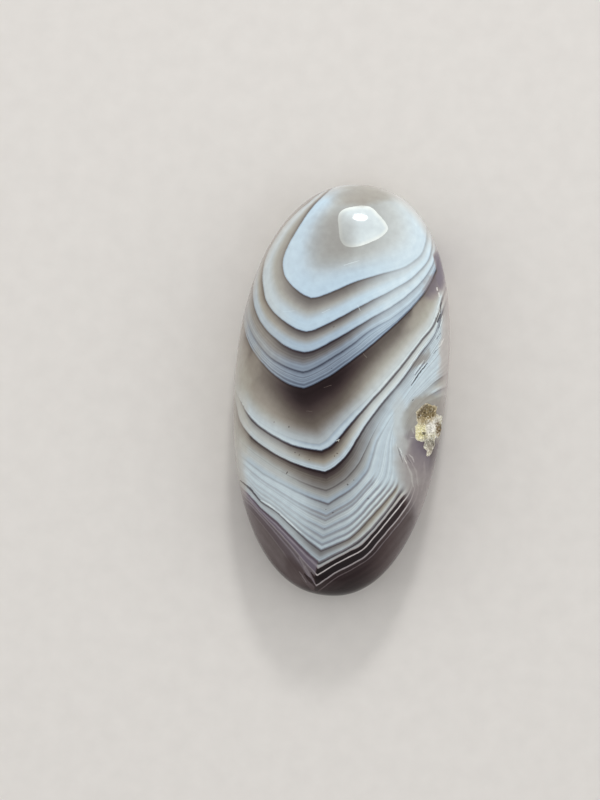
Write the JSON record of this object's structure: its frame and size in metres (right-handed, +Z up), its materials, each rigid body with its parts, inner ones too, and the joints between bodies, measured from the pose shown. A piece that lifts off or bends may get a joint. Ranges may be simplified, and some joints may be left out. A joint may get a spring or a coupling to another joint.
{
  "type": "oval agate cabochon",
  "caption": "Long oval cabochon of grey and white banded agate with a flat back, a polished dome and a small crystal-lined pit in its flank.",
  "frame": {"origin": "the middle of the flat back, on the surface that the stone rests on", "axes": "+Z up through the crest of the dome, +Y along the stone towards the end with the widest white band, +X towards the flank with the pit"},
  "size_m": [0.0124, 0.024, 0.0056],
  "materials": {
    "polished_agate": "high polish, banded white, blue-grey and smoky brown",
    "quartz_druse": "rough, sparkling, cream with ochre staining"
  },
  "bodies": {
    "root": {"cabochon": "polished_agate", "pit_crystals": "quartz_druse"}
  },
  "joints": []
}
